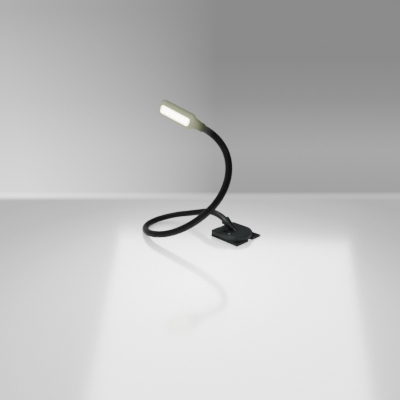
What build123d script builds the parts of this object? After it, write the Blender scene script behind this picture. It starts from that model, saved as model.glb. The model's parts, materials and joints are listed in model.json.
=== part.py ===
from build123d import *
import os
from math import acos, cos, radians, sin

# Clip-on reading lamp: a spring clip, a gooseneck and a flat LED head.
# Millimetres, +Z up. The origin is on the floor, under the middle of the clip's housing.
# X runs along the clip's mouth, +Y from the mouth to the finger tab, and the neck leaves along -X.

# ---- driving dimensions ----
CLIP_WIDTH = 42.0           # along X
MOUTH_Y = -19.5             # front edge of both jaws
TAB_Y = 25.5                # end of the finger tab
PLATE_T = 3.0               # lower jaw thickness
PLATE_CORNER = 1.2
TAB_T = 1.7                 # finger tab thickness
JAW_GAP = 0.4               # between the closed jaws

HOUSING_TOP = 8.3
HOUSING_SPLIT = 5.7         # joint between the tray and the cover
HOUSING_R = 20.5            # radius of the round side
HOUSING_CENTRE = (0.5, 1.0)
HOUSING_CORNER = 2.2        # corners of the straight side
WALL = 1.3

HINGE_Y = 10.0
HINGE_Z = 4.9
PIN_R = 1.0
EAR_R = 2.0

NECK_R = 4.0                # outside of the rubber sleeve
SLEEVE_BORE_R = 3.1
HOSE_R = 3.0
HOSE_BORE_R = 1.7
CABLE_R = 1.3
SOCKET_MOUTH = Vector(-15.5, 0.0, 17.2)
SOCKET_R = 5.7              # outside of the neck socket at its mouth
SOCKET_ROOT_R = 1.75        # and where it has sunk into the cover
SOCKET_LENGTH = 23.0
SOCKET_DEPTH = 7.0
ANCHOR_LENGTH = 2.5         # metal sleeve that grips the hose's end

LINK_LENGTH = 36.5          # length of neck between two bending points
# Heading from +X and climb from level of the neck at each bending point, degrees.
NECK_HEADINGS = [180, 186, 208, 269, 330, 375, 401, 421, 466, 530, 583]
NECK_CLIMBS = [27, -18, -12, -4, 3, 12, 29, 44, 60, 49, 27]
BALL_R = 3.9                # rounded end of each link
CUP_R = 4.1                 # hollow start of the next link

HEAD_ROLL = 50.0            # turn of the light face from straight down, degrees
HEAD_LENGTH = 56.0
HEAD_WIDTH = 20.0           # at the shoulders
HEAD_TIP_WIDTH = 18.4
HEAD_T = 7.6
HEAD_CORNER = 6.2
HEAD_SOCKET_R = 4.9         # outside of the head where the neck goes in
BODY_X0 = 12.0              # start of the flat body
HEAD_COLLAR = 2.5           # straight start of the taper
TAPER_END = 17.5            # end of the taper from the neck, inside the body
HEAD_SPLIT = 1.7            # local height of the joint between the shell and the bezel
WINDOW_LENGTH = 36.0
WINDOW_WIDTH = 13.0
WINDOW_CORNER = 4.0
LED_COUNT = 6

PLATE_TOP = PLATE_T
TRAY_BOTTOM = PLATE_T + JAW_GAP
HALF_WIDTH = CLIP_WIDTH / 2

parts = {}


def box(x0, x1, y0, y1, z0, z1):
    """A box between two corners."""
    size = (x1 - x0, y1 - y0, z1 - z0)
    centre = ((x0 + x1) / 2, (y0 + y1) / 2, (z0 + z1) / 2)
    return Pos(*centre) * Box(*size)


def rod_x(radius, x0, x1, y, z):
    """A round bar along X."""
    return Pos((x0 + x1) / 2, y, z) * Rot(0, 90, 0) * Cylinder(radius, x1 - x0)


def upright(radius, x, y, z0, z1):
    """A round bar along Z."""
    return Pos(x, y, (z0 + z1) / 2) * Cylinder(radius, z1 - z0)


def plate(outline, z0, z1):
    """A flat sketch raised between two heights."""
    return extrude(Pos(0, 0, z0) * outline, amount=z1 - z0)


def round_bar(start, end, radius):
    """A round bar between two points."""
    axis = end - start
    return extrude(Plane(origin=start, z_dir=axis) * Circle(radius), amount=axis.length)


# ---- clip: lower jaw ----
NOTCH_Y0, NOTCH_Y1 = 0.5, 8.0
NOTCH_DEPTH = 4.0
EAR_X0, EAR_X1 = 12.8, 16.6
PAD_T = 1.0
PAD_Y0, PAD_Y1 = -18.0, -11.0
PAD_HALF = 14.0
RIB_PITCH = 1.8


def lower_jaw_outline():
    jaw = Rectangle(CLIP_WIDTH, TAB_Y - MOUTH_Y)
    jaw = fillet(jaw.vertices(), PLATE_CORNER)
    jaw = Pos(0, (TAB_Y + MOUTH_Y) / 2) * jaw
    for side in (-1, 1):
        x = side * (HALF_WIDTH - NOTCH_DEPTH / 2 + 1)
        notch = Rectangle(NOTCH_DEPTH + 2, NOTCH_Y1 - NOTCH_Y0)
        jaw -= Pos(x, (NOTCH_Y0 + NOTCH_Y1) / 2) * notch
    return jaw


def make_lower_jaw():
    jaw = plate(lower_jaw_outline(), 0, PLATE_TOP)
    edges = jaw.edges().filter_by(Axis.X).group_by(Axis.Z)[-1]
    jaw = fillet(edges.sort_by(Axis.Y)[0], 0.8)
    jaw -= box(-30, 30, HINGE_Y + EAR_R + 0.2, TAB_Y + 1, TAB_T, PLATE_TOP + 1)
    jaw -= box(-PAD_HALF, PAD_HALF, PAD_Y0, PAD_Y1, PLATE_TOP - PAD_T, PLATE_TOP + 1)
    for i in range(4):
        y = TAB_Y - 3.0 - i * 2.2
        jaw += box(-14, 14, y - 0.5, y + 0.5, TAB_T - 0.2, TAB_T + 0.5)
    for side in (-1, 1):
        x0, x1 = sorted((side * EAR_X0, side * EAR_X1))
        ear = rod_x(EAR_R, x0, x1, HINGE_Y, HINGE_Z)
        ear += box(x0, x1, HINGE_Y - EAR_R, HINGE_Y + EAR_R, PLATE_TOP - 0.5, HINGE_Z)
        jaw += ear
    jaw -= rod_x(PIN_R, -30, 30, HINGE_Y, HINGE_Z)
    return jaw


def make_pad(z0, z1, ribs_at, depth=0.35):
    """A rubber grip pad with cross grooves on one face."""
    pad = box(-PAD_HALF, PAD_HALF, PAD_Y0, PAD_Y1, z0, z1)
    count = int((PAD_Y1 - PAD_Y0) / RIB_PITCH)
    for i in range(1, count):
        y = PAD_Y0 + i * RIB_PITCH
        pad -= box(-PAD_HALF - 1, PAD_HALF + 1, y - 0.3, y + 0.3, ribs_at - depth, ribs_at + depth)
    return pad


parts["lower_jaw"] = make_lower_jaw()
parts["lower_jaw_pad"] = make_pad(PLATE_TOP - PAD_T, PLATE_TOP + 0.05, PLATE_TOP + 0.05)
parts["hinge_pin"] = rod_x(PIN_R, -EAR_X1 - 0.6, EAR_X1 + 0.6, HINGE_Y, HINGE_Z)

# ---- clip: torsion spring round the hinge pin ----
SPRING_WIRE_R = 0.3
SPRING_COIL_R = 1.4
SPRING_TURNS = 6
SPRING_HALF = 2.6


def make_spring():
    helix = Helix(2 * SPRING_HALF / SPRING_TURNS, 2 * SPRING_HALF, SPRING_COIL_R)
    start = helix @ 0
    profile = Plane(origin=start, z_dir=helix % 0) * Circle(SPRING_WIRE_R)
    coil = sweep(profile, path=helix, is_frenet=True)
    coil = Pos(-SPRING_HALF, HINGE_Y, HINGE_Z) * Rot(0, 90, 0) * coil
    foot = Vector(-SPRING_HALF, HINGE_Y, HINGE_Z - SPRING_COIL_R)
    arm = Vector(SPRING_HALF, HINGE_Y, HINGE_Z - SPRING_COIL_R)
    coil += round_bar(foot, foot + Vector(0, -2.9, -0.1), SPRING_WIRE_R)
    return coil + round_bar(arm, arm + Vector(0, -2.9, 1.2), SPRING_WIRE_R)


parts["clip_spring"] = make_spring()

# ---- housing: tray and cover ----
KNUCKLE_X0, KNUCKLE_X1 = 8.4, 12.4
REAR_BEVEL_Y = 10.8
REAR_BEVEL_Z = 6.9
SCREW_SPOTS = [(-17.3, -15.8), (13.5, -8.0)]
SCREW_R = 0.8
POST_R = 1.9
TOP_T = 1.1


def housing_outline(inset=0.0):
    """Half square, half round: straight on the neck's side."""
    cx, cy = HOUSING_CENTRE
    radius = HOUSING_R - inset
    disc = Pos(cx, cy) * Circle(radius)
    left = -HALF_WIDTH + inset
    corner = Rectangle(cx - left, 2 * radius)
    corner = fillet(corner.vertices(), HOUSING_CORNER - min(inset, 1.2))
    square = Pos((cx + left) / 2, cy) * corner
    joint = Pos(cx - 4, cy) * Rectangle(8, 2 * radius)
    return disc + square + joint


def hinge_clearance():
    """Room for the lower jaw's ears and the spring while the clip opens."""
    room = rod_x(EAR_R + 0.35, -EAR_X1 - 1.0, -EAR_X0 + 0.35, HINGE_Y, HINGE_Z)
    room += rod_x(EAR_R + 0.35, EAR_X0 - 0.35, EAR_X1 + 1.0, HINGE_Y, HINGE_Z)
    room += rod_x(EAR_R + 0.35, -KNUCKLE_X0, KNUCKLE_X0, HINGE_Y, HINGE_Z)
    reach = EAR_R + 1.3
    for x0, x1 in ((-EAR_X1 - 1.0, -EAR_X0 + 0.35), (EAR_X0 - 0.35, EAR_X1 + 1.0)):
        room += box(x0, x1, HINGE_Y - reach, HINGE_Y + reach, TRAY_BOTTOM - 1, HINGE_Z)
    room += box(-4.0, 4.0, HINGE_Y - reach, HINGE_Y + reach, TRAY_BOTTOM - 1, HINGE_Z)
    return room


def rear_bevel():
    """The underside rises behind the hinge so that the clip can be squeezed open."""
    with BuildPart() as wedge:
        with BuildSketch(Plane.YZ):
            with BuildLine():
                Polyline(
                    (REAR_BEVEL_Y, TRAY_BOTTOM - 1),
                    (REAR_BEVEL_Y, TRAY_BOTTOM),
                    (24.0, REAR_BEVEL_Z),
                    (24.0, TRAY_BOTTOM - 1),
                    close=True,
                )
            make_face()
        extrude(amount=30, both=True)
    return wedge.part


def make_tray():
    tray = plate(housing_outline(), TRAY_BOTTOM, HOUSING_SPLIT)
    tray -= plate(housing_outline(WALL), TRAY_BOTTOM + 1.0, HOUSING_SPLIT + 1)
    floor = plate(housing_outline(WALL / 2), TRAY_BOTTOM, TRAY_BOTTOM + 4)
    raised = Pos(0, 0, 1.0) * rear_bevel()
    tray += floor & raised & box(-30, 30, REAR_BEVEL_Y, 23, TRAY_BOTTOM, HOUSING_SPLIT)
    for x, y in SCREW_SPOTS:
        tray += upright(POST_R, x, y, TRAY_BOTTOM, HOUSING_SPLIT)
    recess = box(-PAD_HALF, PAD_HALF, PAD_Y0, PAD_Y1, TRAY_BOTTOM - 1, TRAY_BOTTOM + 0.4)
    tray -= recess & plate(housing_outline(1.0), TRAY_BOTTOM - 1, TRAY_BOTTOM + 1)
    tray -= hinge_clearance()
    for side in (-1, 1):
        x0, x1 = sorted((side * KNUCKLE_X0, side * KNUCKLE_X1))
        knuckle = rod_x(EAR_R, x0, x1, HINGE_Y, HINGE_Z)
        knuckle &= box(-30, 30, 0, 20, TRAY_BOTTOM, HOUSING_TOP)
        tray += knuckle
    tray -= rod_x(PIN_R + 0.05, -30, 30, HINGE_Y, HINGE_Z)
    tray -= rear_bevel()
    for x, y in SCREW_SPOTS:
        tray -= upright(SCREW_R, x, y, TRAY_BOTTOM - 1, HOUSING_SPLIT + 1)
        tray -= upright(SCREW_R * 2, x, y, TRAY_BOTTOM - 1, TRAY_BOTTOM + 0.7)
    tray -= socket_port()
    return tray


PORT_Y = 1.0
PORT_WIDTH = 7.4
PORT_Z0, PORT_Z1 = 4.6, 7.0
SLOT_X0, SLOT_X1 = -8.0, -0.8
SLOT_Y = -11.0
SLOT_WIDTH = 2.4
LAMP_SPOT = (3.4, -13.0)


def socket_port():
    """Mouth of the charging socket in the flat side wall."""
    return box(-HALF_WIDTH - 1, -14.5, PORT_Y - PORT_WIDTH / 2, PORT_Y + PORT_WIDTH / 2, PORT_Z0, PORT_Z1)


def socket_axis(distance):
    """A point on the neck's axis inside the socket, measured back from the mouth."""
    return SOCKET_MOUTH - tangent(NECK_HEADINGS[0], NECK_CLIMBS[0]) * distance


def tangent(heading, climb):
    """Unit vector with this heading from +X and this climb from level, in degrees."""
    h = radians(heading)
    c = radians(climb)
    return Vector(cos(c) * cos(h), cos(c) * sin(h), sin(c))


def neck_socket():
    """Round socket that rises out of the cover and widens a little to its mouth."""
    out = tangent(NECK_HEADINGS[0], NECK_CLIMBS[0])
    mouth = Plane(origin=SOCKET_MOUTH, z_dir=out) * Circle(SOCKET_R)
    root = Plane(origin=socket_axis(SOCKET_LENGTH), z_dir=out) * Circle(SOCKET_ROOT_R)
    bar = loft([root, mouth])
    rim = round_bar(socket_axis(0.9), SOCKET_MOUTH, SOCKET_R + 0.15)
    return (bar + rim) & box(-30, 30, -10, 10, HOUSING_TOP - TOP_T / 2, 30)


def make_cover():
    cover = plate(housing_outline(), HOUSING_SPLIT, HOUSING_TOP)
    cover = fillet(cover.edges().group_by(Axis.Z)[-1], 1.0)
    cover += neck_socket()
    cover -= plate(housing_outline(WALL), HOUSING_SPLIT - 1, HOUSING_TOP - TOP_T)
    cover -= round_bar(socket_axis(SOCKET_DEPTH), socket_axis(-3), NECK_R)
    cover -= round_bar(socket_axis(SOCKET_DEPTH + ANCHOR_LENGTH), socket_axis(SOCKET_DEPTH - 1), HOSE_R)
    cover -= round_bar(socket_axis(SOCKET_DEPTH + 16), socket_axis(SOCKET_DEPTH), CABLE_R + 0.4)
    cover -= hinge_clearance()
    for x, y in SCREW_SPOTS:
        post = upright(POST_R, x, y, HOUSING_SPLIT, HOUSING_TOP - TOP_T + 0.1)
        cover += post
        cover -= upright(SCREW_R * 0.8, x, y, HOUSING_SPLIT - 1, HOUSING_TOP - TOP_T)
    slot = Pos((SLOT_X0 + SLOT_X1) / 2, SLOT_Y) * SlotOverall(SLOT_X1 - SLOT_X0, SLOT_WIDTH)
    cover -= plate(slot, HOUSING_TOP - 2, HOUSING_TOP + 1)
    cover -= upright(0.9, *LAMP_SPOT, HOUSING_TOP - 2, HOUSING_TOP + 1)
    cover -= socket_port()
    return cover


parts["housing_tray"] = make_tray()
parts["housing_cover"] = make_cover()
upper_pad = make_pad(TRAY_BOTTOM - 0.05, TRAY_BOTTOM + 0.4, TRAY_BOTTOM - 0.05, 0.2)
parts["upper_jaw_pad"] = upper_pad & plate(housing_outline(1.0), TRAY_BOTTOM - 1, TRAY_BOTTOM + 1)

# ---- housing: what it holds ----
CELL = (-3.0, 11.5, -8.0, 5.5)
CELL_Z0, CELL_Z1 = 4.5, 6.9
BOARD = (-14.4, -4.6, -13.6, 6.0)
BOARD_Z0, BOARD_Z1 = 4.7, 5.5


def make_cell():
    cell = box(*CELL, CELL_Z0, CELL_Z1)
    cell = fillet(cell.edges().filter_by(Axis.Y), 0.8)
    tab = box(CELL[0] - 1.2, CELL[0] + 0.2, CELL[2] + 2, CELL[3] - 2, CELL_Z0 + 0.8, CELL_Z0 + 1.4)
    return cell + tab


def make_board():
    board = box(*BOARD, BOARD_Z0, BOARD_Z1)
    board += box(BOARD[1] - 1, 6.0, BOARD[2], CELL[2] - 0.6, BOARD_Z0, BOARD_Z1)
    board += box(-12.6, -8.6, -5, -1, BOARD_Z1 - 0.1, BOARD_Z1 + 0.9)
    board += box(-8, -6, 1, 3.5, BOARD_Z1 - 0.1, BOARD_Z1 + 0.7)
    for i in range(4):
        y = -7.5 + i * 3.2
        board += box(-6.6, -5.4, y, y + 0.8, BOARD_Z1 - 0.1, BOARD_Z1 + 0.3)
    return board


def make_charge_socket():
    x0, x1 = -HALF_WIDTH + 0.4, -15.0
    y0, y1 = PORT_Y - PORT_WIDTH / 2 + 0.1, PORT_Y + PORT_WIDTH / 2 - 0.1
    shell = box(x0, x1, y0, y1, PORT_Z0 + 0.05, PORT_Z1 - 0.05)
    shell -= box(x0 - 1, x1 - 0.5, y0 + 0.4, y1 - 0.4, PORT_Z0 + 0.35, PORT_Z1 - 0.35)
    shell += box(x0 + 1.2, x1, y0 + 1.6, y1 - 1.6, PORT_Z0 + 0.95, PORT_Z0 + 1.45)
    return shell


KNOB_X0 = SLOT_X0 + 0.5
KNOB_LENGTH = 3.2


def make_switch_knob():
    y0, y1 = SLOT_Y - SLOT_WIDTH / 2 + 0.2, SLOT_Y + SLOT_WIDTH / 2 - 0.2
    knob = box(KNOB_X0, KNOB_X0 + KNOB_LENGTH, y0, y1, 6.9, HOUSING_TOP + 0.7)
    knob = fillet(knob.edges().filter_by(Axis.Z), 0.6)
    knob += box(KNOB_X0 + 0.3, KNOB_X0 + KNOB_LENGTH - 0.3, SLOT_Y - 1.8, SLOT_Y + 1.8, 6.5, 7.0)
    for i in range(3):
        x = KNOB_X0 + 0.8 + i * 0.8
        knob -= box(x - 0.15, x + 0.15, y0 - 1, y1 + 1, HOUSING_TOP + 0.45, HOUSING_TOP + 1)
    return knob


def make_switch_body():
    x0, x1 = SLOT_X0 - 0.3, SLOT_X1 + 0.3
    body = box(x0, x1, SLOT_Y - 2.3, SLOT_Y + 2.3, BOARD_Z1 + 0.05, 7.1)
    body -= box(x0 + 0.4, x1 - 0.4, SLOT_Y - 1.95, SLOT_Y + 1.95, 6.3, 8)
    return body


def make_indicator():
    x, y = LAMP_SPOT
    lens = upright(0.85, x, y, HOUSING_TOP - TOP_T - 0.1, HOUSING_TOP + 0.15)
    return lens + upright(1.5, x, y, HOUSING_TOP - TOP_T - 0.6, HOUSING_TOP - TOP_T)


def make_housing_screws():
    screws = []
    for x, y in SCREW_SPOTS:
        screw = upright(SCREW_R * 0.8, x, y, TRAY_BOTTOM + 0.1, HOUSING_TOP - TOP_T - 0.2)
        screw += upright(SCREW_R * 1.8, x, y, TRAY_BOTTOM + 0.1, TRAY_BOTTOM + 0.65)
        screw -= box(x - 0.9, x + 0.9, y - 0.15, y + 0.15, TRAY_BOTTOM, TRAY_BOTTOM + 0.35)
        screw -= box(x - 0.15, x + 0.15, y - 0.9, y + 0.9, TRAY_BOTTOM, TRAY_BOTTOM + 0.35)
        screws.append(screw)
    return Compound(children=screws)


parts["battery_cell"] = make_cell()
parts["control_board"] = make_board()
parts["charge_socket"] = make_charge_socket()
parts["switch_knob"] = make_switch_knob()
parts["switch_body"] = make_switch_body()
parts["indicator_lens"] = make_indicator()
parts["housing_screws"] = make_housing_screws()

# ---- gooseneck: links joined by ball ends ----
LINK_COUNT = len(NECK_HEADINGS) - 1
HEAD_INSERT = 9.0           # neck held inside the head


def walk_neck():
    """Bending points and middle points of the neck, each link one arc tangent to the next."""
    points = [SOCKET_MOUTH]
    middles = []
    directions = [tangent(h, c) for h, c in zip(NECK_HEADINGS, NECK_CLIMBS)]
    for t0, t1 in zip(directions, directions[1:]):
        turn = acos(max(-1, min(1, t0.dot(t1))))
        radius = LINK_LENGTH / turn
        side = (t1 - t0 * cos(turn)).normalized()
        start = points[-1]
        for angle, store in ((turn / 2, middles), (turn, points)):
            store.append(start + t0 * (radius * sin(angle)) + side * (radius * (1 - cos(angle))))
    return points, middles, directions


NECK_POINTS, NECK_MIDDLES, NECK_DIRECTIONS = walk_neck()


def neck_layer(i, outer, inner):
    """One layer of one link: a bent tube with a hollow start and a rounded end."""
    start, end = NECK_POINTS[i], NECK_POINTS[i + 1]
    t0, t1 = NECK_DIRECTIONS[i], NECK_DIRECTIONS[i + 1]
    first, last = i == 0, i == LINK_COUNT - 1
    arc = ThreePointArc(start, NECK_MIDDLES[i], end)
    ring = Circle(outer) - Circle(inner) if inner else Circle(outer)
    tube = sweep(Plane(origin=start, z_dir=t0) * ring, path=arc)
    if first:
        tube += extrude(Plane(origin=start, z_dir=t0 * -1) * ring, amount=SOCKET_DEPTH - 0.2)
    else:
        tube -= Pos(*start) * Sphere(CUP_R)
    if last:
        tube += extrude(Plane(origin=end, z_dir=t1) * ring, amount=HEAD_INSERT)
    else:
        cap = extrude(Plane(origin=end, z_dir=t1) * ring, amount=BALL_R)
        tube += cap & (Pos(*end) * Sphere(BALL_R))
    return tube


for i in range(LINK_COUNT):
    number = f"{i + 1:02d}"
    parts[f"neck_sleeve_{number}"] = neck_layer(i, NECK_R, SLEEVE_BORE_R)
    parts[f"neck_hose_{number}"] = neck_layer(i, HOSE_R, HOSE_BORE_R)
    parts[f"neck_cable_{number}"] = neck_layer(i, CABLE_R, 0)


def make_neck_anchor():
    """Metal sleeve behind the neck's end in the housing."""
    back = socket_axis(SOCKET_DEPTH + ANCHOR_LENGTH)
    sleeve = round_bar(back, socket_axis(SOCKET_DEPTH - 0.1), HOSE_R)
    return sleeve - round_bar(socket_axis(SOCKET_DEPTH + 4), socket_axis(SOCKET_DEPTH - 2), CABLE_R + 0.1)


parts["neck_anchor"] = make_neck_anchor()
parts["base_cable"] = round_bar(socket_axis(SOCKET_DEPTH + 13.0), socket_axis(SOCKET_DEPTH - 0.2), CABLE_R)

# ---- head: drawn along its own X from the neck, light face towards its own +Z ----
BACK_Z = -HEAD_T / 2
FACE_Z = HEAD_T / 2
HEAD_WALL = 1.2
HEAD_SCREW_X, HEAD_SCREW_Y = 14.2, 4.6
WINDOW_X0 = HEAD_LENGTH - 2.6 - WINDOW_LENGTH


def head_plane():
    """Where the head sits: its X along the neck's last direction, rolled about it."""
    axis = NECK_DIRECTIONS[-1]
    side = Vector(-sin(radians(NECK_HEADINGS[-1])), cos(radians(NECK_HEADINGS[-1])), 0)
    down = axis.cross(side)
    if down.Z > 0:
        down = down * -1
    roll = radians(HEAD_ROLL)
    face = down * cos(roll) + side * sin(roll)
    return Plane(origin=NECK_POINTS[-1], x_dir=axis, z_dir=face)


HEAD = head_plane()


def head_solid():
    """Rounded flat body with a taper that starts round at the neck."""
    shoulder, tip = HEAD_WIDTH / 2, HEAD_TIP_WIDTH / 2
    corners = [(BODY_X0, -shoulder), (HEAD_LENGTH, -tip), (HEAD_LENGTH, tip), (BODY_X0, shoulder)]
    outline = make_face(Polyline(*corners, close=True))
    outline = fillet(outline.vertices(), HEAD_CORNER)
    body = plate(outline, BACK_Z, FACE_Z)
    body = fillet(body.edges().group_by(Axis.Z)[0], 2.0)
    body = fillet(body.edges().group_by(Axis.Z)[-1], 0.7)
    across = Plane(origin=(0, 0, 0), x_dir=(0, 1, 0), z_dir=(1, 0, 0))
    flat_end = across.offset(TAPER_END) * RectangleRounded(HEAD_WIDTH - 3.0, HEAD_T - 0.4, 3.0)
    collar = round_bar(Vector(0, 0, 0), Vector(HEAD_COLLAR, 0, 0), HEAD_SOCKET_R)
    taper = loft([across.offset(HEAD_COLLAR) * Circle(HEAD_SOCKET_R), flat_end])
    return body + taper + collar


def window_outline(grow=0.0):
    frame = RectangleRounded(WINDOW_LENGTH + 2 * grow, WINDOW_WIDTH + 2 * grow, WINDOW_CORNER + grow)
    return Pos(WINDOW_X0 + WINDOW_LENGTH / 2, 0) * frame


def make_head_shell():
    shell = head_solid() & box(-1, HEAD_LENGTH + 1, -20, 20, -20, HEAD_SPLIT)
    shell -= plate(window_outline(1.0), BACK_Z + HEAD_WALL, HEAD_SPLIT + 1)
    shell -= round_bar(Vector(-1, 0, 0), Vector(HEAD_INSERT + 0.2, 0, 0), NECK_R)
    shell -= round_bar(Vector(HEAD_INSERT, 0, 0), Vector(HEAD_INSERT + 3.4, 0, 0), HOSE_R)
    shell -= round_bar(Vector(HEAD_INSERT, 0, 0), Vector(WINDOW_X0 + 1, 0, 0), CABLE_R + 0.1)
    for y in (-1, 1):
        shell -= upright(0.6, HEAD_SCREW_X, y * HEAD_SCREW_Y, BACK_Z - 1, HEAD_SPLIT + 1)
        shell -= upright(1.1, HEAD_SCREW_X, y * HEAD_SCREW_Y, BACK_Z - 1, BACK_Z + 0.9)
    return shell


def make_head_bezel():
    bezel = head_solid() & box(-1, HEAD_LENGTH + 1, -20, 20, HEAD_SPLIT, 20)
    bezel -= plate(window_outline(), HEAD_SPLIT - 1, FACE_Z + 1)
    bezel -= plate(window_outline(0.8), HEAD_SPLIT - 1, FACE_Z - 0.8)
    bezel -= round_bar(Vector(-1, 0, 0), Vector(HEAD_INSERT + 0.2, 0, 0), NECK_R)
    bezel -= round_bar(Vector(HEAD_INSERT, 0, 0), Vector(HEAD_INSERT + 3.4, 0, 0), HOSE_R)
    for y in (-1, 1):
        bezel -= upright(0.6, HEAD_SCREW_X, y * HEAD_SCREW_Y, HEAD_SPLIT - 1, FACE_Z - 0.9)
    return bezel


def make_diffuser():
    lens = plate(window_outline(-0.05), FACE_Z - 1.5, FACE_Z - 0.15)
    return lens + plate(window_outline(0.7), FACE_Z - 1.5, FACE_Z - 0.85)


LED_Z = BACK_Z + HEAD_WALL + 0.85


def make_led_board():
    return plate(window_outline(0.5), BACK_Z + HEAD_WALL + 0.05, LED_Z)


def make_leds():
    leds = []
    pitch = (WINDOW_LENGTH - 5) / (LED_COUNT - 1)
    for i in range(LED_COUNT):
        x = WINDOW_X0 + 2.5 + i * pitch
        led = box(x - 1.4, x + 1.4, -1.75, 1.75, LED_Z, LED_Z + 0.7)
        led -= upright(1.1, x, 0, LED_Z + 0.45, LED_Z + 1)
        leds.append(led)
    return Compound(children=leds)


def make_reflector():
    """White frame that lines the window behind the diffuser."""
    frame = plate(window_outline(0.4), LED_Z, FACE_Z - 1.55)
    return frame - plate(window_outline(-0.4), LED_Z - 1, FACE_Z)


def make_head_screws():
    screws = []
    for y in (-1, 1):
        x, side = HEAD_SCREW_X, y * HEAD_SCREW_Y
        screw = upright(0.55, x, side, BACK_Z + 0.5, FACE_Z - 1.0)
        screw += upright(1.0, x, side, BACK_Z + 0.2, BACK_Z + 0.9)
        screws.append(screw - box(x - 0.7, x + 0.7, side - 0.12, side + 0.12, BACK_Z, BACK_Z + 0.5))
    return Compound(children=screws)


def make_head_cable():
    return round_bar(Vector(HEAD_INSERT, 0, 0), Vector(WINDOW_X0 - 1.2, 0, 0), CABLE_R)


def make_head_clamp():
    """Metal sleeve that grips the hose's end inside the head."""
    clamp = round_bar(Vector(HEAD_INSERT + 0.3, 0, 0), Vector(HEAD_INSERT + 3.3, 0, 0), HOSE_R)
    return clamp - round_bar(Vector(HEAD_INSERT, 0, 0), Vector(HEAD_INSERT + 4, 0, 0), CABLE_R + 0.1)


HEAD_PARTS = {
    "head_shell": make_head_shell(),
    "head_bezel": make_head_bezel(),
    "diffuser": make_diffuser(),
    "reflector": make_reflector(),
    "led_board": make_led_board(),
    "leds": make_leds(),
    "head_screws": make_head_screws(),
    "head_clamp": make_head_clamp(),
    "head_cable": make_head_cable(),
}
for name, shape in HEAD_PARTS.items():
    parts[name] = HEAD.location * shape

# ---- write one file for each part ----
os.makedirs("parts", exist_ok=True)
for name, shape in parts.items():
    export_step(shape, f"parts/{name}.step")
lowest = min(shape.bounding_box().min.Z for shape in parts.values())
print(len(parts), "parts, lowest point", round(lowest, 3), "mm")
for i, point in enumerate(NECK_POINTS):
    print("neck point", i, [round(v, 2) for v in point])
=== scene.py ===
import json
import math

import bmesh
import bpy
from mathutils import Matrix, Vector


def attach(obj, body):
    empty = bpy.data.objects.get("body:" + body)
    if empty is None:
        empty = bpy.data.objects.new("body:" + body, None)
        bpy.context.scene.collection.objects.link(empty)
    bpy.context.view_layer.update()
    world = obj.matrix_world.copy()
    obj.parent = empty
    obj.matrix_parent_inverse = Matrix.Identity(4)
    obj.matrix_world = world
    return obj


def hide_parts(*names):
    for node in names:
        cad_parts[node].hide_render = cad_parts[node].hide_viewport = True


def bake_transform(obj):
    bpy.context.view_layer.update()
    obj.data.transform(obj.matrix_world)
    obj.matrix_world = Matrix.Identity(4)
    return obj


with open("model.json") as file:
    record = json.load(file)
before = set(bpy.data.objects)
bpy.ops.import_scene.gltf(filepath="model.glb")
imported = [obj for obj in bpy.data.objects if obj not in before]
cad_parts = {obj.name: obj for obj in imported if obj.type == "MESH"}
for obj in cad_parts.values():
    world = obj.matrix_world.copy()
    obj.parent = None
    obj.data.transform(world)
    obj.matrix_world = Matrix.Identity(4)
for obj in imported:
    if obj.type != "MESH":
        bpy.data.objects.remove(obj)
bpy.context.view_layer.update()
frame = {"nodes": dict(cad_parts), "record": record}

# Clip-on reading lamp. Metres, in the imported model's frame: the floor is z = 0, X runs along the
# clip's mouth, the mouth faces -Y and the neck leaves the clip towards -X.

MM = 0.001

# ---- driving dimensions, as in the CAD model ----
LINK_LENGTH = 36.5 * MM
NECK_HEADINGS = [180, 186, 208, 269, 330, 375, 401, 421, 466, 530, 583]
NECK_CLIMBS = [27, -18, -12, -4, 3, 12, 29, 44, 60, 49, 27]
SOCKET_MOUTH = Vector((-15.5, 0.0, 17.2)) * MM
NECK_RADIUS = 4.0 * MM
NECK_IN_SOCKET = 6.5 * MM
NECK_IN_HEAD = 8.5 * MM
LINK_COUNT = len(NECK_HEADINGS) - 1
HEAD_ROLL = 50.0
HEAD_HALF_HEIGHT = 3.8 * MM

CAMERA_POSITION = Vector((216.2, -256.3, 146.4)) * MM
CAMERA_YAW = 47.3
CAMERA_PITCH = -16.7
CAMERA_LENS = 26.64


# ---- camera ----
def make_camera():
    data = bpy.data.cameras.new("camera")
    data.lens = CAMERA_LENS
    data.sensor_width = 36.0
    data.clip_start = 0.005
    data.clip_end = 50.0
    camera = bpy.data.objects.new("camera", data)
    camera.location = CAMERA_POSITION
    camera.rotation_euler = (math.radians(90 + CAMERA_PITCH), 0, math.radians(CAMERA_YAW))
    bpy.context.scene.collection.objects.link(camera)
    bpy.context.scene.camera = camera


def direction(heading, climb):
    """Unit vector with this heading from +X and this climb from level, in degrees."""
    h, c = math.radians(heading), math.radians(climb)
    return Vector((math.cos(c) * math.cos(h), math.cos(c) * math.sin(h), math.sin(c)))


# ---- shader helpers ----
def new_material(name):
    material = bpy.data.materials.new(name)
    material.use_nodes = True
    tree = material.node_tree
    return material, tree, tree.nodes["Principled BSDF"]


def add_node(tree, kind, inputs=None, **settings):
    """A shader node with its properties and its sockets' values set."""
    node = tree.nodes.new(kind)
    for key, value in settings.items():
        setattr(node, key, value)
    for key, value in (inputs or {}).items():
        node.inputs[key].default_value = value
    return node


def ramp(tree, factor, stops):
    """A colour ramp from (position, colour) pairs, driven by a socket."""
    node = tree.nodes.new("ShaderNodeValToRGB")
    elements = node.color_ramp.elements
    while len(elements) < len(stops):
        elements.new(0.5)
    for element, (position, colour) in zip(elements, stops):
        element.position = position
        element.color = (*colour, 1.0) if len(colour) == 3 else colour
    tree.links.new(factor, node.inputs["Fac"])
    return node.outputs["Color"]


def grey(value):
    return (value, value, value)


def object_coordinates(tree):
    return tree.nodes.new("ShaderNodeTexCoord").outputs["Object"]


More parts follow.
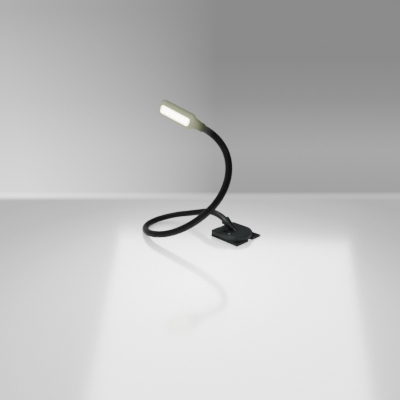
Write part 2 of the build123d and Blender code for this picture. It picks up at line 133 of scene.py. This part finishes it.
def noise(tree, coordinates, scale, detail=4.0, roughness=0.55):
    node = add_node(tree, "ShaderNodeTexNoise", {"Scale": scale, "Detail": detail, "Roughness": roughness})
    tree.links.new(coordinates, node.inputs["Vector"])
    return node.outputs["Fac"]


def bump(tree, height, strength, distance, normal=None):
    node = add_node(tree, "ShaderNodeBump", {"Strength": strength, "Distance": distance})
    tree.links.new(height, node.inputs["Height"])
    if normal:
        tree.links.new(normal, node.inputs["Normal"])
    return node.outputs["Normal"]


def dot(tree, vector, along):
    """Dot product of a vector socket with a fixed vector."""
    node = add_node(tree, "ShaderNodeVectorMath", operation="DOT_PRODUCT")
    tree.links.new(vector, node.inputs[0])
    node.inputs[1].default_value = along
    return node.outputs["Value"]


def calculate(tree, operation, first, second=0.0):
    """A math node on sockets or plain numbers."""
    node = add_node(tree, "ShaderNodeMath", operation=operation)
    for socket, value in zip(node.inputs, (first, second)):
        if isinstance(value, float):
            socket.default_value = value
        else:
            tree.links.new(value, socket)
    return node.outputs[0]


def fraction(tree, value, low, high, smooth=False):
    """0 to 1 as the value goes from low to high."""
    kind = "SMOOTHSTEP" if smooth else "LINEAR"
    node = add_node(
        tree, "ShaderNodeMapRange", {"From Min": low, "From Max": high}, interpolation_type=kind
    )
    tree.links.new(value, node.inputs["Value"])
    return node.outputs[0]


def mix_colour(tree, factor, first, second):
    node = add_node(tree, "ShaderNodeMix", data_type="RGBA")
    tree.links.new(factor, node.inputs["Factor"])
    tree.links.new(first, node.inputs[6])
    tree.links.new(second, node.inputs[7])
    return node.outputs[2]


# ---- table, backdrop and light ----
AWAY = direction(CAMERA_YAW + 90, 0)
ACROSS = Vector((AWAY.y, -AWAY.x, 0))
FLOOR_HALF = 6.0
FLOOR_STEPS = 24
# The pool of light on the table is painted: emission and a paler base colour around POOL_CENTRE, fading out
# to POOL_REACH.
POOL_CENTRE = (0.043, -0.097, 0.0)      # lightest place on the table
POOL_REACH = 0.36
TABLE_END = (0.15, 0.21)                # the table turns into the backdrop, along AWAY
PAINTED_POOL_GLOW = 2.7
PAINTED_POOL_TONES = [(0.0, grey(0.8)), (0.25, grey(0.34)), (0.5, grey(0.13)), (0.7, grey(0.05)), (1.0, grey(0.02))]
LEFT_TONES = [(0.07, grey(1.8)), (0.32, grey(1.44)), (0.55, grey(1.02)), (0.91, grey(0.6))]
RIGHT_TONES = [(0.07, grey(0.41)), (0.32, grey(0.49)), (0.55, grey(0.32)), (0.72, grey(0.27))]


def backdrop_tone(tree, sideways, height):
    """Grey of the studio backdrop: lightest low on the left. Both inputs are slopes of the view."""
    rise = fraction(tree, height, -0.35, 0.35)
    left = ramp(tree, rise, LEFT_TONES)
    right = ramp(tree, rise, RIGHT_TONES)
    return mix_colour(tree, fraction(tree, sideways, -0.60, 0.05), left, right)


def floor_material():
    """Pale satin table with a painted pool of light (emission and a paler base colour round its middle),
    and the backdrop's glow beyond its end.
    """
    material, tree, shader = new_material("pale_floor")
    coordinates = object_coordinates(tree)
    distance = calculate(tree, "SUBTRACT", dot(tree, coordinates, AWAY), CAMERA_POSITION.dot(AWAY))
    sideways = calculate(tree, "SUBTRACT", dot(tree, coordinates, ACROSS), CAMERA_POSITION.dot(ACROSS))
    depth = calculate(tree, "MAXIMUM", distance, 0.1)
    slope = calculate(tree, "DIVIDE", -CAMERA_POSITION.z, depth)
    far = backdrop_tone(tree, calculate(tree, "DIVIDE", sideways, depth), slope)
    reach = add_node(tree, "ShaderNodeVectorMath", operation="DISTANCE")
    tree.links.new(coordinates, reach.inputs[0])
    reach.inputs[1].default_value = POOL_CENTRE
    share = fraction(tree, reach.outputs["Value"], 0.0, POOL_REACH)
    # painted pool of light: emission colour brightest at the pool's middle
    near = ramp(tree, share, PAINTED_POOL_TONES)
    past = fraction(tree, dot(tree, coordinates, AWAY), *TABLE_END, smooth=True)
    tree.links.new(mix_colour(tree, past, near, far), shader.inputs["Emission Color"])
    strength = fraction(tree, past, 1.0, 0.0)
    glow = calculate(tree, "ADD", calculate(tree, "MULTIPLY", strength, PAINTED_POOL_GLOW - 1.0), 1.0)
    tree.links.new(glow, shader.inputs["Emission Strength"])
    # painted pool of light in the base colour too: paler near the pool's middle
    table = ramp(tree, share, [(0.0, grey(0.6)), (0.6, grey(0.36)), (1.0, grey(0.3))])
    matt = add_node(tree, "ShaderNodeMix", data_type="RGBA")
    tree.links.new(past, matt.inputs["Factor"])
    tree.links.new(table, matt.inputs[6])
    matt.inputs[7].default_value = (0.0, 0.0, 0.0, 1.0)
    tree.links.new(matt.outputs[2], shader.inputs["Base Color"])
    shader.inputs["Roughness"].default_value = 0.13
    shader.inputs["IOR"].default_value = 2.3
    shine = ramp(tree, past, [(0.0, grey(0.5)), (1.0, grey(0.0))])
    tree.links.new(shine, shader.inputs["Specular IOR Level"])
    fine = noise(tree, coordinates, 60.0)
    tree.links.new(bump(tree, fine, 0.03, 0.0003), shader.inputs["Normal"])
    return material


def make_stage():
    """A wide flat floor."""
    mesh = bmesh.new()
    bmesh.ops.create_grid(mesh, x_segments=FLOOR_STEPS, y_segments=FLOOR_STEPS, size=FLOOR_HALF)
    stage = finish_mesh(mesh, "floor")
    stage.data.materials.append(floor_material())
    return stage


def finish_mesh(mesh, name):
    """Turns a bmesh into an object in the scene."""
    data = bpy.data.meshes.new(name)
    bmesh.ops.recalc_face_normals(mesh, faces=mesh.faces)
    mesh.to_mesh(data)
    mesh.free()
    item = bpy.data.objects.new(name, data)
    bpy.context.scene.collection.objects.link(item)
    return item


def add_area(name, position, target, width, height, power, receivers=None):
    """A rectangular lamp; with receivers, it shines on those objects alone."""
    data = bpy.data.lights.new(name, "AREA")
    data.shape = "RECTANGLE"
    data.size, data.size_y = width, height
    data.energy = power
    light = bpy.data.objects.new(name, data)
    light.location = position
    light.rotation_euler = (Vector(target) - Vector(position)).to_track_quat("-Z", "Y").to_euler()
    light.visible_camera = False
    bpy.context.scene.collection.objects.link(light)
    if receivers:
        group = bpy.data.collections.new(name + "_receivers")
        for item in receivers:
            group.objects.link(item)
        light.light_linking.receiver_collection = group


def make_world():
    """Studio surroundings with the same grey as the backdrop."""
    world = bpy.data.worlds.new("studio")
    bpy.context.scene.world = world
    world.use_nodes = True
    tree = world.node_tree
    ray = tree.nodes.new("ShaderNodeTexCoord").outputs["Generated"]
    depth = calculate(tree, "MAXIMUM", calculate(tree, "ABSOLUTE", dot(tree, ray, AWAY)), 0.15)
    sideways = calculate(tree, "DIVIDE", dot(tree, ray, ACROSS), depth)
    height = calculate(tree, "DIVIDE", dot(tree, ray, (0, 0, 1)), depth)
    background = tree.nodes["Background"]
    tree.links.new(backdrop_tone(tree, sideways, height), background.inputs["Color"])
    background.inputs["Strength"].default_value = 1.0


PANEL_AWAY = 1.5
PANEL_ASIDE = 0.16
PANEL_HEIGHT = 1.38
PANEL_SIZE = (1.9, 1.35)
PANEL_POWER = 88.0


def make_lights(stage, clip_items):
    """A key on the clip alone, a wide top light, and a panel that only the table reflects."""
    add_area("key", (0.06, -0.60, 0.62), (-0.02, -0.02, 0.02), 0.22, 0.08, 17.0, clip_items)
    add_area("top", (-0.30, -0.15, 1.5), (-0.05, -0.08, 0.0), 1.3, 1.1, 16.0)
    panel = AWAY * PANEL_AWAY + ACROSS * PANEL_ASIDE
    panel.z = PANEL_HEIGHT
    add_area("back_panel", panel, (0.0, 0.0, 0.0), *PANEL_SIZE, PANEL_POWER, [stage])


# ---- materials of the lamp ----
def moulded(name, colour, roughness, grain=900.0, strength=0.18, lift=1.6, specular=0.12):
    """Black moulded plastic: fine spark texture, slightly paler on its convex edges as a painted edge
    highlight, uneven gloss.
    """
    material, tree, shader = new_material(name)
    coordinates = object_coordinates(tree)
    broad = noise(tree, coordinates, 70.0, 3.0)
    tone = ramp(tree, broad, [(0.3, colour), (0.75, tuple(c * lift for c in colour))])
    # painted edge highlight: convex edges, found by pointiness, get a paler colour
    edge = tree.nodes.new("ShaderNodeNewGeometry").outputs["Pointiness"]
    painted_edge_highlight = ramp(tree, edge, [(0.5, grey(0.0)), (0.62, grey(0.35))])
    mix = add_node(tree, "ShaderNodeMix", data_type="RGBA")
    tree.links.new(painted_edge_highlight, mix.inputs["Factor"])
    tree.links.new(tone, mix.inputs[6])
    mix.inputs[7].default_value = (*(min(1.0, c * 4) for c in colour), 1.0)
    tree.links.new(mix.outputs[2], shader.inputs["Base Color"])
    uneven = noise(tree, coordinates, 240.0)
    shine = ramp(tree, uneven, [(0.3, grey(roughness)), (0.8, grey(roughness + 0.12))])
    tree.links.new(shine, shader.inputs["Roughness"])
    shader.inputs["Specular IOR Level"].default_value = specular
    texture = noise(tree, coordinates, grain * 4, 2.0)
    waves = noise(tree, coordinates, 110.0, 2.0)
    soft = bump(tree, waves, 0.1, 0.0002)
    tree.links.new(bump(tree, texture, strength, 0.00004, soft), shader.inputs["Normal"])
    return material


def rubber(name, colour, roughness):
    """Smooth black rubber with a dusty bloom and small flow marks."""
    material, tree, shader = new_material(name)
    coordinates = object_coordinates(tree)
    bloom = noise(tree, coordinates, 130.0, 5.0)
    tone = ramp(tree, bloom, [(0.35, colour), (0.8, tuple(c * 1.9 for c in colour))])
    tree.links.new(tone, shader.inputs["Base Color"])
    uneven = noise(tree, coordinates, 320.0)
    shine = ramp(tree, uneven, [(0.3, grey(roughness)), (0.75, grey(roughness + 0.14))])
    tree.links.new(shine, shader.inputs["Roughness"])
    shader.inputs["Specular IOR Level"].default_value = 0.12
    fine = noise(tree, coordinates, 2600.0, 2.0)
    flow = noise(tree, coordinates, 190.0, 3.0)
    soft = bump(tree, flow, 0.12, 0.0002)
    tree.links.new(bump(tree, fine, 0.15, 0.00003, soft), shader.inputs["Normal"])
    return material


def metal(name, colour, roughness):
    """Plain steel with a drawn grain and a few duller patches."""
    material, tree, shader = new_material(name)
    coordinates = object_coordinates(tree)
    stretch = add_node(tree, "ShaderNodeMapping", {"Scale": (60.0, 1800.0, 1800.0)})
    tree.links.new(coordinates, stretch.inputs["Vector"])
    grain = noise(tree, stretch.outputs[0], 1.0, 3.0)
    tone = ramp(tree, grain, [(0.3, tuple(c * 0.75 for c in colour)), (0.7, colour)])
    tree.links.new(tone, shader.inputs["Base Color"])
    uneven = noise(tree, coordinates, 300.0)
    shine = ramp(tree, uneven, [(0.3, grey(roughness)), (0.8, grey(roughness + 0.15))])
    tree.links.new(shine, shader.inputs["Roughness"])
    shader.inputs["Metallic"].default_value = 1.0
    tree.links.new(bump(tree, grain, 0.1, 0.00003), shader.inputs["Normal"])
    return material


def plain_plastic(name, colour, roughness, vary=0.9, transmission=0.0):
    """Smooth plastic with a faint unevenness."""
    material, tree, shader = new_material(name)
    coordinates = object_coordinates(tree)
    broad = noise(tree, coordinates, 260.0, 3.0)
    tone = ramp(tree, broad, [(0.3, tuple(c * vary for c in colour)), (0.7, colour)])
    tree.links.new(tone, shader.inputs["Base Color"])
    shader.inputs["Roughness"].default_value = roughness
    shader.inputs["Transmission Weight"].default_value = transmission
    tree.links.new(bump(tree, broad, 0.08, 0.0001), shader.inputs["Normal"])
    return material


def circuit(name, colour):
    """Board coating with copper tracks that show through as paler lines."""
    material, tree, shader = new_material(name)
    coordinates = object_coordinates(tree)
    bricks = add_node(tree, "ShaderNodeTexBrick", {"Scale": 420.0, "Mortar Size": 0.03})
    tree.links.new(coordinates, bricks.inputs["Vector"])
    bricks.inputs["Color1"].default_value = (*colour, 1)
    bricks.inputs["Color2"].default_value = (*(c * 0.8 for c in colour), 1)
    bricks.inputs["Mortar"].default_value = (*(min(1, c * 1.8) for c in colour), 1)
    tree.links.new(bricks.outputs["Color"], shader.inputs["Base Color"])
    shader.inputs["Roughness"].default_value = 0.35
    tree.links.new(bump(tree, bricks.outputs["Fac"], 0.2, 0.00005), shader.inputs["Normal"])
    return material


# ---- the neck's route and the head's place ----
DIRECTIONS = [direction(h, c) for h, c in zip(NECK_HEADINGS, NECK_CLIMBS)]


def arc_parts(i):
    """Turn, radius and inward normal of link i's arc."""
    t0, t1 = DIRECTIONS[i], DIRECTIONS[i + 1]
    turn = t0.angle(t1)
    return turn, LINK_LENGTH / turn, (t1 - t0 * math.cos(turn)).normalized()


def walk():
    """Bending points of the neck, from the socket's mouth to the head."""
    points = [SOCKET_MOUTH.copy()]
    for i in range(LINK_COUNT):
        turn, radius, inward = arc_parts(i)
        along = DIRECTIONS[i] * (radius * math.sin(turn))
        points.append(points[-1] + along + inward * (radius * (1 - math.cos(turn))))
    return points


POINTS = walk()


def neck_at(s):
    """Point and direction on the neck; s counts links from the socket's mouth."""
    if s <= 0:
        return POINTS[0] + DIRECTIONS[0] * (s * LINK_LENGTH), DIRECTIONS[0]
    if s >= LINK_COUNT:
        return POINTS[-1] + DIRECTIONS[-1] * ((s - LINK_COUNT) * LINK_LENGTH), DIRECTIONS[-1]
    i = min(int(s), LINK_COUNT - 1)
    turn, radius, inward = arc_parts(i)
    angle = (s - i) * turn
    t0 = DIRECTIONS[i]
    point = POINTS[i] + t0 * (radius * math.sin(angle)) + inward * (radius * (1 - math.cos(angle)))
    return point, (t0 * math.cos(angle) + inward * math.sin(angle)).normalized()


def head_frame():
    """Matrix from the head's own axes: X from the neck, +Z out of the light face."""
    axis = DIRECTIONS[-1]
    heading = math.radians(NECK_HEADINGS[-1])
    side = Vector((-math.sin(heading), math.cos(heading), 0))
    down = axis.cross(side)
    if down.z > 0:
        down = -down
    roll = math.radians(HEAD_ROLL)
    face = down * math.cos(roll) + side * math.sin(roll)
    across = face.cross(axis)
    turn = Matrix((axis, across, face)).transposed().to_4x4()
    return Matrix.Translation(POINTS[-1]) @ turn


HEAD = head_frame()

TUBE_SIDES = 40
STEPS_PER_LINK = 28


def tube(name, start, end):
    """Skin round the neck between two places along it."""
    mesh = bmesh.new()
    count = max(4, math.ceil((end - start) * STEPS_PER_LINK))
    rings = []
    up = None
    for i in range(count + 1):
        s = start + (end - start) * i / count
        point, along = neck_at(s)
        if up is None:
            up = reference_side(s)
        up = (up - along * up.dot(along)).normalized()
        side = along.cross(up)
        ring = []
        for k in range(TUBE_SIDES):
            angle = 2 * math.pi * k / TUBE_SIDES
            out = up * math.cos(angle) + side * math.sin(angle)
            ring.append(mesh.verts.new(point + out * NECK_RADIUS))
        rings.append(ring)
    for first, second in zip(rings, rings[1:]):
        for k in range(TUBE_SIDES):
            n = (k + 1) % TUBE_SIDES
            face = mesh.faces.new((first[k], first[n], second[n], second[k]))
            face.smooth = True
    return finish_mesh(mesh, name)


def reference_side(s):
    """A side direction carried along the neck from its start, so that neighbouring tubes line up."""
    up = Vector((0, 0, 1))
    steps = max(1, math.ceil(abs(s) * 12))
    for i in range(steps + 1):
        along = neck_at(s * i / steps)[1]
        up = (up - along * up.dot(along)).normalized()
    return up


def body_of_link(i):
    """Name of the CAD body that holds link i, counted from 1."""
    if i == 1:
        return "housing"
    if i == LINK_COUNT:
        return "head"
    return f"neck_link_{i:02d}"


def make_neck(material, spill_painted_material):
    """Rubber sleeve in spans from the middle of one link to the middle of the next."""
    spans = []
    first = tube("neck_rubber_start", -NECK_IN_SOCKET / LINK_LENGTH, 0.5)
    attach(first, body_of_link(1))
    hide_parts("neck_sleeve_01")
    spans.append(first)
    for i in range(1, LINK_COUNT):
        span = tube(f"neck_rubber_bend_{i}", i - 0.5, i + 0.5)
        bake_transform(span)
        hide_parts(f"neck_sleeve_{i + 1:02d}")
        spans.append(span)
    last = tube("neck_rubber_end", LINK_COUNT - 0.5, LINK_COUNT + NECK_IN_HEAD / LINK_LENGTH)
    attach(last, body_of_link(LINK_COUNT))
    spans.append(last)
    for span in spans:
        span.data.materials.append(spill_painted_material if span is last else material)
    return spans


# ---- raised dots on the housing ----
DOT_COUNT = 3
DOT_RADIUS = 0.6 * MM
DOT_STEP = Vector((2.4, 2.0, 0)) * MM
COVER_TOP = 8.3
DOT_START = Vector((-1.6, 10.4, COVER_TOP)) * MM
DOT_SIDES = 28


def make_dot(index, material):
    """A plain mark on the housing: a low stud with a sunk foot and a slightly domed top."""
    centre = DOT_START + DOT_STEP * index
    profile = [(1.0, -0.10), (1.0, 0.04), (0.93, 0.08), (0.8, 0.10), (0.4, 0.115)]
    mesh = bmesh.new()
    rings = []
    for share, height in profile:
        ring = []
        for k in range(DOT_SIDES):
            angle = 2 * math.pi * k / DOT_SIDES
            flat = Vector((math.cos(angle), math.sin(angle), 0)) * (DOT_RADIUS * share)
            ring.append(mesh.verts.new(centre + flat + Vector((0, 0, height * MM))))
        rings.append(ring)
    for first, second in zip(rings, rings[1:]):
        for k in range(DOT_SIDES):
            n = (k + 1) % DOT_SIDES
            mesh.faces.new((first[k], first[n], second[n], second[k])).smooth = True
    mesh.faces.new(reversed(rings[0]))
    mesh.faces.new(rings[-1])
    stud = finish_mesh(mesh, f"housing_dot_{index + 1}")
    stud.data.materials.append(material)
    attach(stud, "housing")


# ---- glow of the light panel, and the painted spill of its light on the head and neck ----
LED_COUNT = 6
WINDOW_START = 17.4 * MM
WINDOW_LENGTH = 36.0 * MM
WINDOW_HALF = 6.5 * MM
GLOW = 10.0
# SPILL_ and NECK_SPILL colours are painted light: emission standing in for the panel's light falling on the
# head plastic and the neck.
SPILL_NEAR = (0.49, 0.53, 0.31)
SPILL_FAR = (0.11, 0.125, 0.09)
SPILL_NECK = 0.14
NECK_BLACK = (0.0055, 0.0060, 0.0055)
NECK_SPILL = (0.055, 0.058, 0.050)


def along_head(tree, coordinates, row):
    """Coordinate of a point along one of the head's own axes, as a socket."""
    inverse = HEAD.inverted()
    return calculate(tree, "ADD", dot(tree, coordinates, inverse[row][:3]), inverse[row][3])


def neck_rubber_painted_spill():
    """The neck's rubber where it meets the lit head, with a painted spill of light (emission) over its last
    stretch.
    """
    material = rubber("neck_rubber_end", NECK_BLACK, 0.30)
    tree = material.node_tree
    shader = tree.nodes["Principled BSDF"]
    length = along_head(tree, object_coordinates(tree), 0)
    near = fraction(tree, length, -14.0 * MM, 2.0 * MM, smooth=True)
    # painted light spill from the head: emission growing over the neck's last stretch
    tree.links.new(ramp(tree, near, [(0.0, grey(0.0)), (1.0, NECK_SPILL)]), shader.inputs["Emission Color"])
    shader.inputs["Emission Strength"].default_value = 1.0
    return material


def head_plastic_painted_spill():
    """Head plastic with a painted spill of the panel's light: emission, strongest near its face."""
    material = moulded("head_plastic", (0.0065, 0.0065, 0.007), 0.34)
    tree = material.node_tree
    shader = tree.nodes["Principled BSDF"]
    height = along_head(tree, object_coordinates(tree), 2)
    rise = fraction(tree, height, -HEAD_HALF_HEIGHT, HEAD_HALF_HEIGHT)
    # painted light spill: emission colour rising towards the light face
    tree.links.new(ramp(tree, rise, [(0.0, SPILL_FAR), (1.0, SPILL_NEAR)]), shader.inputs["Emission Color"])
    normal = tree.nodes.new("ShaderNodeTexCoord").outputs["Normal"]
    facing = dot(tree, normal, HEAD.col[2][:3])
    length = along_head(tree, object_coordinates(tree), 0)
    reach = fraction(tree, length, 1.0 * MM, WINDOW_START)
    fade = ramp(tree, reach, [(0.0, grey(SPILL_NECK)), (1.0, grey(1.0))])
    turned = fraction(tree, facing, -0.75, -0.15, smooth=True)
    tree.links.new(calculate(tree, "MULTIPLY", fade, turned), shader.inputs["Emission Strength"])
    return material


def glowing_panel():
    """Milky panel lit from behind, a little brighter over each lamp and greener at its edge."""
    material, tree, shader = new_material("lit_diffuser")
    coordinates = object_coordinates(tree)
    length = along_head(tree, coordinates, 0)
    across = calculate(tree, "ABSOLUTE", along_head(tree, coordinates, 1))
    centre = WINDOW_START + WINDOW_LENGTH / 2
    end = calculate(tree, "ABSOLUTE", calculate(tree, "SUBTRACT", length, centre))
    end = calculate(tree, "SUBTRACT", end, WINDOW_LENGTH / 2 - WINDOW_HALF)
    edge = fraction(tree, calculate(tree, "MAXIMUM", across, end), 3.0 * MM, WINDOW_HALF)
    stops = [(0.0, (1.0, 1.0, 0.80)), (0.55, (0.62, 0.66, 0.36)), (1.0, (0.14, 0.16, 0.05))]
    tint = ramp(tree, edge, stops)
    tree.links.new(tint, shader.inputs["Emission Color"])
    pitch = WINDOW_LENGTH / LED_COUNT
    from_start = calculate(tree, "SUBTRACT", length, WINDOW_START)
    place = calculate(tree, "MULTIPLY", from_start, 2 * math.pi / pitch)
    wave = calculate(tree, "COSINE", place)
    power = calculate(tree, "SUBTRACT", GLOW * 0.92, calculate(tree, "MULTIPLY", wave, GLOW * 0.08))
    tree.links.new(power, shader.inputs["Emission Strength"])
    shader.inputs["Base Color"].default_value = (0.93, 0.95, 0.9, 1)
    shader.inputs["Roughness"].default_value = 0.4
    fine = noise(tree, coordinates, 1500.0)
    tree.links.new(bump(tree, fine, 0.1, 0.00003), shader.inputs["Normal"])
    return material


# ---- putting it together ----
def make_materials():
    black = (0.0056, 0.0066, 0.0068)
    return {
        "neck_rubber": rubber("neck_rubber", NECK_BLACK, 0.30),
        "neck_core": metal("neck_core", (0.62, 0.62, 0.63), 0.35),
        "cable_insulation": rubber("cable_insulation", (0.02, 0.02, 0.02), 0.45),
        "jaw_plate": moulded("jaw_plate", (0.0030, 0.0034, 0.0035), 0.36),
        "grip_rubber": rubber("grip_rubber", (0.012, 0.012, 0.013), 0.6),
        "steel": metal("steel", (0.6, 0.6, 0.6), 0.3),
        "base_plastic": moulded("base_plastic", black, 0.33),
        "cell_foil": metal("cell_foil", (0.7, 0.7, 0.72), 0.25),
        "board": circuit("board", (0.03, 0.16, 0.08)),
        "switch_black": moulded("switch_black", (0.006, 0.006, 0.006), 0.45),
        "clear_lens": plain_plastic("clear_lens", (0.20, 0.21, 0.22), 0.15, 0.95, 0.3),
        "head_plastic": head_plastic_painted_spill(),
        "diffuser": glowing_panel(),
        "white_plastic": plain_plastic("white_plastic", (0.9, 0.9, 0.9), 0.4),
        "board_white": circuit("board_white", (0.75, 0.75, 0.73)),
        "mark_ink": plain_plastic("mark_ink", (0.0012, 0.0012, 0.0013), 0.5),
        "led_package": plain_plastic("led_package", (0.95, 0.85, 0.45), 0.2),
    }


def dress_cad_nodes(materials):
    """Each CAD node that stays takes the material of its slot."""
    slots = {entry["node"]: entry["material_slot"] for entry in frame["record"]["subparts"]}
    for name, item in frame["nodes"].items():
        item.data.materials.clear()
        item.data.materials.append(materials[slots[name]])


make_camera()
stage = make_stage()
make_world()
MATERIALS = make_materials()
dress_cad_nodes(MATERIALS)
neck_spans = make_neck(MATERIALS["neck_rubber"], neck_rubber_painted_spill())
for dot_index in range(DOT_COUNT):
    make_dot(dot_index, MATERIALS["mark_ink"])

clip_nodes = [node for name, node in frame["nodes"].items() if not name.startswith(("neck_sleeve", "head"))]
make_lights(stage, clip_nodes + neck_spans[:1])
